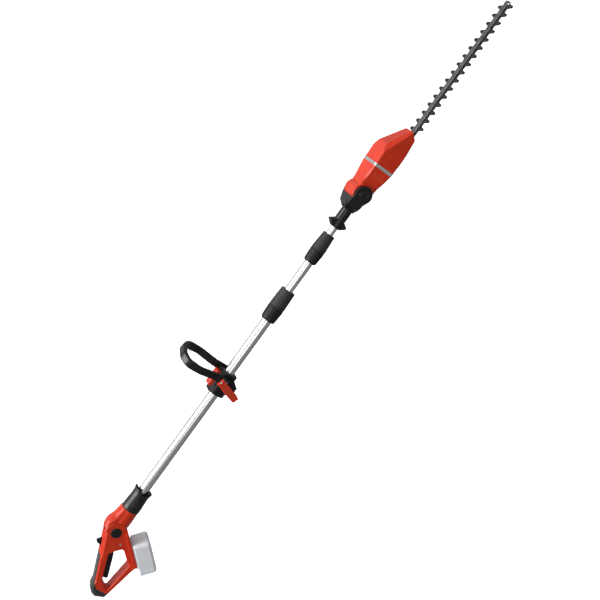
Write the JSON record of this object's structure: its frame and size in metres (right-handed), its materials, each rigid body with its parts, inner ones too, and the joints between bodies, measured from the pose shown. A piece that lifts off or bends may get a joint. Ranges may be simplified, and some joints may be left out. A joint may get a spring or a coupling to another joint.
{
  "type": "pole hedge trimmer",
  "caption": "Cordless pole hedge trimmer: telescoping aluminium pole with a tilting D-handle and battery, a sliding loop handle and a tilting head with a double-action blade.",
  "frame": {"origin": "on the pole's axis, at the front of the neck's collar, where the bare tube starts", "axes": "+X along the pole towards the blade, +Z towards the loop handle, -Y the side with the clamp's lever"},
  "size_m": [2.0546, 0.1108, 0.3301],
  "materials": {
    "red_plastic": "glossy moulded plastic",
    "black_plastic": "moulded plastic, fine texture",
    "grey_plastic": "moulded plastic, fine texture",
    "soft_grip": "soft overmould",
    "pale_plastic": "pale moulded plastic",
    "tube_aluminium": "drawn, polished",
    "silver_cast": "satin",
    "cast_alloy": "cast",
    "blade_steel": "blackened, ground",
    "bright_steel": "ground",
    "screw_steel": "plated",
    "spring_steel": "drawn wire",
    "white_nylon": "moulded",
    "board_green": "circuit board",
    "cell_wrap": "shrink wrap",
    "bearing_bronze": "sintered"
  },
  "bodies": {
    "pole": {"neck_shell_near": "red_plastic", "neck_shell_far": "red_plastic", "neck_screws": "screw_steel", "neck_collar": "black_plastic", "lower_tube": "tube_aluminium", "lower_lock_body": "black_plastic"},
    "handle": {"rear_shell_near": "red_plastic", "rear_shell_far": "red_plastic", "rear_grip_pad": "soft_grip", "rear_fasteners": "screw_steel", "rear_pivot_pin": "bright_steel", "rear_pivot_cap": "black_plastic", "switch_module": "grey_plastic", "control_board": "board_green", "trigger_spring": "spring_steel"},
    "handle_button": {"rear_tilt_button": "black_plastic"},
    "trigger": {"trigger": "black_plastic"},
    "lock_button": {"lock_off_button": "black_plastic"},
    "battery": {"battery_cover": "pale_plastic", "battery_case": "pale_plastic", "battery_cells": "cell_wrap"},
    "battery_catch": {"battery_latch": "pale_plastic"},
    "loop_carrier": {"loop_liner": "white_nylon"},
    "loop": {"clamp_upper": "black_plastic", "clamp_lower": "black_plastic", "loop_saddle": "red_plastic", "loop_frame": "black_plastic", "loop_grip": "soft_grip", "loop_fasteners": "screw_steel"},
    "lever": {"loop_lever": "red_plastic"},
    "lower_nut": {"lower_lock_nut": "grey_plastic"},
    "middle": {"middle_tube": "tube_aluminium", "middle_glide": "white_nylon", "upper_lock_body": "black_plastic"},
    "upper_nut": {"upper_lock_nut": "grey_plastic"},
    "upper": {"upper_tube": "tube_aluminium", "upper_glide": "white_nylon", "roll_hub": "cast_alloy", "roll_spring": "spring_steel"},
    "sleeve": {"roll_sleeve": "black_plastic"},
    "fork": {"yoke": "black_plastic", "yoke_cover": "grey_plastic", "tilt_shaft": "bright_steel"},
    "fork_button_near": {"tilt_button_near": "black_plastic"},
    "fork_button_far": {"tilt_button_far": "black_plastic"},
    "head": {"motor_shell_near": "red_plastic", "motor_shell_far": "red_plastic", "head_screws": "screw_steel", "trim_band": "silver_cast", "motor": "bright_steel", "gear_cover": "red_plastic", "gear_base": "black_plastic", "gear_plate": "cast_alloy", "crank_bearing": "bearing_bronze", "guide_bar": "blade_steel", "blade_bolts": "screw_steel"},
    "pinion": {"motor_pinion": "bright_steel"},
    "crank": {"crown_gear": "bright_steel"},
    "blade_upper": {"upper_blade": "blade_steel"},
    "blade_lower": {"lower_blade": "blade_steel"}
  },
  "joints": [
    {"name": "handle_tilt", "type": "hinge", "parent": "pole", "child": "handle", "pos_m": [-0.14, 0, 0], "axis": [0, 1, 0], "range_deg": [0, 20]},
    {"name": "handle_button_press", "type": "slide", "parent": "handle", "child": "handle_button", "axis": [0, 1, 0], "range_m": [0, 0.0025], "stiffness_N_per_m": 1500, "springref_m": -0.002},
    {"name": "trigger_pull", "type": "hinge", "parent": "handle", "child": "trigger", "pos_m": [-0.207, 0, -0.023], "axis": [0, 1, 0], "range_deg": [0, 5], "stiffness_Nm_per_rad": 4, "springref_deg": -2.86, "deforming": ["trigger_spring"]},
    {"name": "lock_off_press", "type": "slide", "parent": "handle", "child": "lock_button", "axis": [0.3923, 0, -0.9198], "range_m": [0, 0.003], "stiffness_N_per_m": 800, "springref_m": -0.002},
    {"name": "battery_slide", "type": "slide", "parent": "handle", "child": "battery", "axis": [-0.6894, 0, -0.7244], "range_m": [0, 0.13]},
    {"name": "battery_latch_press", "type": "slide", "parent": "battery", "child": "battery_catch", "axis": [0.7244, 0, -0.6894], "range_m": [0, 0.003], "stiffness_N_per_m": 1200, "springref_m": -0.002},
    {"name": "loop_slide", "type": "slide", "parent": "pole", "child": "loop_carrier", "axis": [1, 0, 0], "range_m": [-0.34, 0.175]},
    {"name": "loop_turn", "type": "hinge", "parent": "loop_carrier", "child": "loop", "pos_m": [0.397, 0, 0], "axis": [1, 0, 0], "range_deg": [-90, 90]},
    {"name": "lever_swing", "type": "hinge", "parent": "loop", "child": "lever", "pos_m": [0.406, -0.0465, 0.022], "axis": [-0.9472, 0, 0.3206], "range_deg": [0, 110]},
    {"name": "lower_nut_turn", "type": "hinge", "parent": "pole", "child": "lower_nut", "pos_m": [0.69, 0, 0], "axis": [1, 0, 0], "range_deg": [0, 120]},
    {"name": "middle_slide", "type": "slide", "parent": "pole", "child": "middle", "axis": [1, 0, 0], "range_m": [-0.09, 0.25]},
    {"name": "upper_nut_turn", "type": "hinge", "parent": "middle", "child": "upper_nut", "pos_m": [0.888, 0, 0], "axis": [1, 0, 0], "range_deg": [0, 120]},
    {"name": "upper_slide", "type": "slide", "parent": "middle", "child": "upper", "axis": [1, 0, 0], "range_m": [-0.012, 0.25]},
    {"name": "sleeve_release", "type": "slide", "parent": "upper", "child": "sleeve", "axis": [1, 0, 0], "range_m": [-0.008, 0], "stiffness_N_per_m": 1200, "springref_m": 0.003, "deforming": ["roll_spring"]},
    {"name": "head_roll", "type": "hinge", "parent": "upper", "child": "fork", "pos_m": [0.984, 0, 0], "axis": [1, 0, 0], "range_deg": [-90, 90]},
    {"name": "head_tilt", "type": "hinge", "parent": "fork", "child": "head", "pos_m": [1.059, 0, 0.0045], "axis": [0, 1, 0], "range_deg": [-60, 50]},
    {"name": "near_button_press", "type": "slide", "parent": "fork", "child": "fork_button_near", "axis": [0, 1, 0], "range_m": [0, 0.0025], "stiffness_N_per_m": 1500, "springref_m": -0.002},
    {"name": "far_button_press", "type": "slide", "parent": "fork", "child": "fork_button_far", "axis": [0, -1, 0], "range_m": [0, 0.0025], "stiffness_N_per_m": 1500, "springref_m": -0.002},
    {"name": "crank_turn", "type": "hinge", "parent": "head", "child": "crank", "pos_m": [1.192, 0, 0], "axis": [0, 0, 1], "continuous": true},
    {"name": "pinion_turn", "type": "hinge", "parent": "head", "child": "pinion", "pos_m": [1.15, 0, 0.002], "axis": [1, 0, 0], "continuous": true},
    {"name": "upper_blade_stroke", "type": "slide", "parent": "head", "child": "blade_upper", "axis": [1, 0, 0], "range_m": [-0.006, 0.006]},
    {"name": "lower_blade_stroke", "type": "slide", "parent": "head", "child": "blade_lower", "axis": [1, 0, 0], "range_m": [-0.006, 0.006]}
  ],
  "couplings": [
    {"joint": "pinion_turn", "follows": "crank_turn", "ratio": -4},
    {"joint": "lower_blade_stroke", "follows": "upper_blade_stroke", "ratio": -1}
  ]
}
